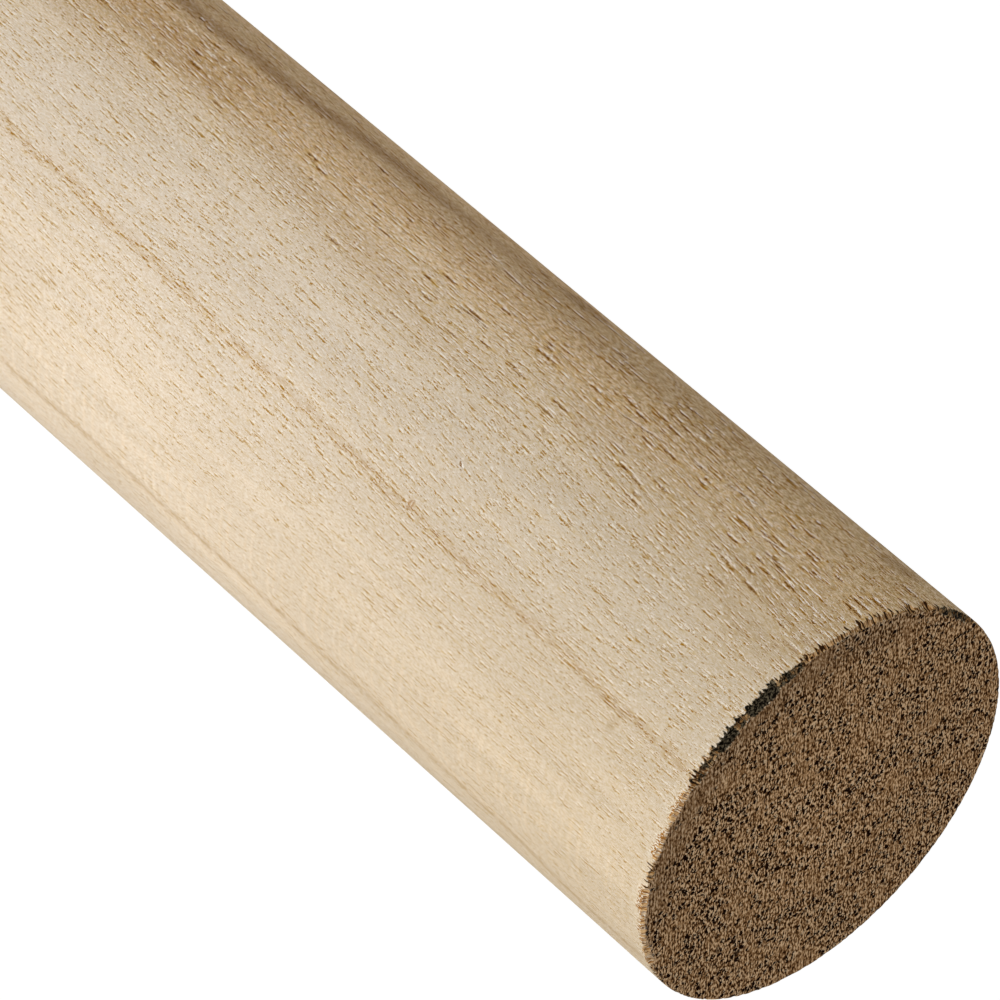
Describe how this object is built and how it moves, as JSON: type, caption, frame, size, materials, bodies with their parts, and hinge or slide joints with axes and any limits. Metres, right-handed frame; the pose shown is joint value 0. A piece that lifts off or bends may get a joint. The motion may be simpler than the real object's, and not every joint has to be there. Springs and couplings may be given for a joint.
{
  "type": "wooden dowel rod",
  "caption": "Plain round wooden rod with sawn ends, its upper rim torn on one side where the saw broke out, standing on its lower end.",
  "frame": {"origin": "centre of the lower sawn end", "axes": "+Z along the rod, towards the sawn end with the torn rim; that rim's most torn side faces -Y"},
  "size_m": [0.025, 0.025, 0.3],
  "materials": {
    "wood": "bare, machined round, with rough sawn end grain"
  },
  "bodies": {
    "root": {"dowel_rod": "wood"}
  },
  "joints": []
}
